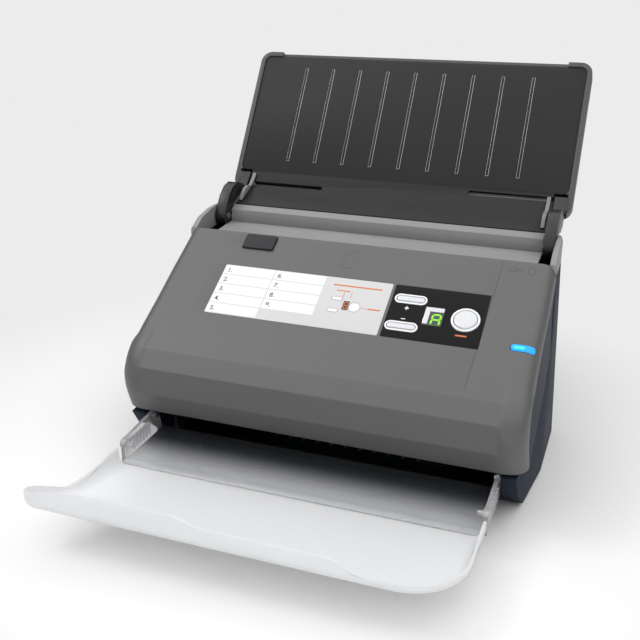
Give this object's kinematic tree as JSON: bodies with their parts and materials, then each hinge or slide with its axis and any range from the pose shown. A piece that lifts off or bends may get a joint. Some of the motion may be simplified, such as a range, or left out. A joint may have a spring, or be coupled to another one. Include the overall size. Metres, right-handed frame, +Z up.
{
  "type": "document scanner",
  "caption": "Desktop sheet-fed document scanner with a front cover on a hinge, a folding input tray, a clear two-piece output tray and a small control panel.",
  "frame": {"origin": "on the desk, under the middle of the whole object's outline with both trays out", "axes": "+X to the right seen from the front, +Y to the rear, +Z up"},
  "size_m": [0.316, 0.4167, 0.287],
  "materials": {
    "grey_case": "fine grained moulding",
    "navy_case": "fine grained moulding",
    "dark_plastic": "satin",
    "liner_plastic": "satin",
    "clear_plastic": "clear moulding",
    "steel": "turned",
    "rubber": "matte",
    "white_gear": "moulded",
    "board_green": "solder mask",
    "lens_glass": "polished",
    "sensor_black": "matte",
    "label_film": "printed film",
    "overlay_film": "printed film",
    "silver_plastic": "satin silver",
    "light_lens": "lit lens",
    "guide_plastic": "satin"
  },
  "bodies": {
    "base": {"base_housing": "navy_case", "base_plate": "dark_plastic", "case_screws": "steel", "rubber_feet": "rubber", "rear_housing": "grey_case", "guide_frame": "liner_plastic", "latch_keepers": "steel", "roller_bushes": "white_gear", "lower_sensor_glass": "lens_glass", "lower_sensor_module": "sensor_black", "idler_pins": "steel", "drive_motor": "steel", "main_board": "board_green", "power_jack": "dark_plastic", "usb_port": "steel", "switch_body": "dark_plastic", "cover_hinge_pins": "steel", "output_hinge_pins": "steel", "tray_hinge_pins": "steel"},
    "cover": {"front_cover": "grey_case", "cover_liner": "liner_plastic", "upper_sensor_glass": "lens_glass", "upper_sensor_module": "sensor_black", "pad_spring": "steel", "scan_ring": "label_film", "function_label": "label_film", "control_overlay": "overlay_film", "digit_display": "overlay_film", "display_frame": "silver_plastic", "light_bar": "light_lens", "control_board": "board_green"},
    "pinch_rollers": {"pinch_rollers": "white_gear"},
    "separation_pad": {"separation_pad": "rubber"},
    "latch_shaft": {"latch_shaft": "steel"},
    "release_button": {"release_button": "dark_plastic"},
    "plus_button": {"plus_button": "silver_plastic"},
    "minus_button": {"minus_button": "silver_plastic"},
    "scan_button": {"scan_button": "silver_plastic"},
    "pick_roller": {"pick_roller": "rubber"},
    "feed_roller": {"feed_roller": "rubber"},
    "exit_roller": {"exit_roller": "rubber"},
    "large_idler_gear": {"large_idler_gear": "white_gear"},
    "small_idler_gear": {"small_idler_gear": "white_gear"},
    "motor_pinion": {"motor_pinion": "white_gear"},
    "paper_flag": {"paper_flag": "dark_plastic"},
    "power_switch": {"power_switch": "dark_plastic"},
    "input_tray": {"tray_shell": "grey_case", "tray_liner": "liner_plastic"},
    "right_paper_guide": {"right_paper_guide": "guide_plastic"},
    "left_paper_guide": {"left_paper_guide": "guide_plastic"},
    "guide_pinion": {"guide_pinion": "white_gear"},
    "output_link": {"output_link": "clear_plastic", "knuckle_pins": "clear_plastic"},
    "output_panel": {"output_panel": "clear_plastic"}
  },
  "joints": [
    {"name": "cover_hinge", "type": "hinge", "parent": "base", "child": "cover", "pos_m": [0, -0.073, 0.05], "axis": [1, 0, 0], "range_deg": [0, 60]},
    {"name": "release_press", "type": "slide", "parent": "cover", "child": "release_button", "axis": [0, 0.5005, -0.8658], "range_m": [0, 0.002], "stiffness_N_per_m": 400},
    {"name": "latch_turn", "type": "hinge", "parent": "cover", "child": "latch_shaft", "pos_m": [0, 0.01361, 0.12751], "axis": [-1, 0, 0], "range_deg": [0, 5.5]},
    {"name": "plus_press", "type": "slide", "parent": "cover", "child": "plus_button", "axis": [0, 0.5005, -0.8658], "range_m": [0, 0.0008], "stiffness_N_per_m": 300},
    {"name": "minus_press", "type": "slide", "parent": "cover", "child": "minus_button", "axis": [0, 0.5005, -0.8658], "range_m": [0, 0.0008], "stiffness_N_per_m": 300},
    {"name": "scan_press", "type": "slide", "parent": "cover", "child": "scan_button", "axis": [0, 0.5005, -0.8658], "range_m": [0, 0.0008], "stiffness_N_per_m": 300},
    {"name": "pad_press", "type": "slide", "parent": "cover", "child": "separation_pad", "axis": [0, -0.723, 0.6909], "range_m": [0, 0.0008], "stiffness_N_per_m": 500},
    {"name": "motor_turn", "type": "hinge", "parent": "base", "child": "motor_pinion", "pos_m": [0, 0.04512, 0.05628], "axis": [1, 0, 0], "continuous": true},
    {"name": "large_idler_turn", "type": "hinge", "parent": "base", "child": "large_idler_gear", "pos_m": [0, 0.01199, 0.06516], "axis": [1, 0, 0], "continuous": true},
    {"name": "small_idler_turn", "type": "hinge", "parent": "base", "child": "small_idler_gear", "pos_m": [0, 0.03915, 0.1049], "axis": [1, 0, 0], "continuous": true},
    {"name": "pick_roller_turn", "type": "hinge", "parent": "base", "child": "pick_roller", "pos_m": [0, 0.04194, 0.12299], "axis": [1, 0, 0], "continuous": true},
    {"name": "feed_roller_turn", "type": "hinge", "parent": "base", "child": "feed_roller", "pos_m": [0, 0.02121, 0.1013], "axis": [1, 0, 0], "continuous": true},
    {"name": "exit_roller_turn", "type": "hinge", "parent": "base", "child": "exit_roller", "pos_m": [0, -0.0237, 0.05431], "axis": [1, 0, 0], "continuous": true},
    {"name": "pinch_roller_turn", "type": "hinge", "parent": "cover", "child": "pinch_rollers", "pos_m": [0, -0.0362, 0.06626], "axis": [1, 0, 0], "continuous": true},
    {"name": "paper_flag_swing", "type": "hinge", "parent": "base", "child": "paper_flag", "pos_m": [0.06, 0.04973, 0.1349], "axis": [1, 0, 0], "range_deg": [0, 25], "stiffness_Nm_per_rad": 0.002},
    {"name": "power_rocker", "type": "hinge", "parent": "base", "child": "power_switch", "pos_m": [0.096, 0.089, 0.024], "axis": [1, 0, 0], "range_deg": [-6, 6]},
    {"name": "input_tray_hinge", "type": "hinge", "parent": "base", "child": "input_tray", "pos_m": [0, 0.08, 0.158], "axis": [-1, 0, 0], "range_deg": [-150, 0]},
    {"name": "paper_guide_slide", "type": "slide", "parent": "input_tray", "child": "right_paper_guide", "axis": [-1, 0, 0], "range_m": [0, 0.055]},
    {"name": "left_guide_slide", "type": "slide", "parent": "input_tray", "child": "left_paper_guide", "axis": [1, 0, 0], "range_m": [0, 0.055]},
    {"name": "guide_pinion_turn", "type": "hinge", "parent": "input_tray", "child": "guide_pinion", "pos_m": [0, 0.13058, 0.17814], "axis": [0, -0.8231, 0.5678], "range_deg": [0, 1100]},
    {"name": "output_link_hinge", "type": "hinge", "parent": "base", "child": "output_link", "pos_m": [0, -0.068, 0.035], "axis": [1, 0, 0], "range_deg": [-14, 0]},
    {"name": "output_panel_hinge", "type": "hinge", "parent": "output_link", "child": "output_panel", "pos_m": [0, -0.112, 0.032], "axis": [1, 0, 0], "range_deg": [-85, 0]}
  ],
  "couplings": [
    {"joint": "latch_turn", "follows": "release_press", "rad_per_m": 43.6},
    {"joint": "large_idler_turn", "follows": "motor_turn", "ratio": -0.21429},
    {"joint": "small_idler_turn", "follows": "motor_turn", "ratio": -0.66667},
    {"joint": "pick_roller_turn", "follows": "motor_turn", "ratio": 0.66667},
    {"joint": "feed_roller_turn", "follows": "motor_turn", "ratio": 0.66667},
    {"joint": "exit_roller_turn", "follows": "motor_turn", "ratio": 0.66667},
    {"joint": "pinch_roller_turn", "follows": "motor_turn", "ratio": -1.2222},
    {"joint": "left_guide_slide", "follows": "paper_guide_slide", "ratio": 1},
    {"joint": "guide_pinion_turn", "follows": "paper_guide_slide", "rad_per_m": 345}
  ]
}
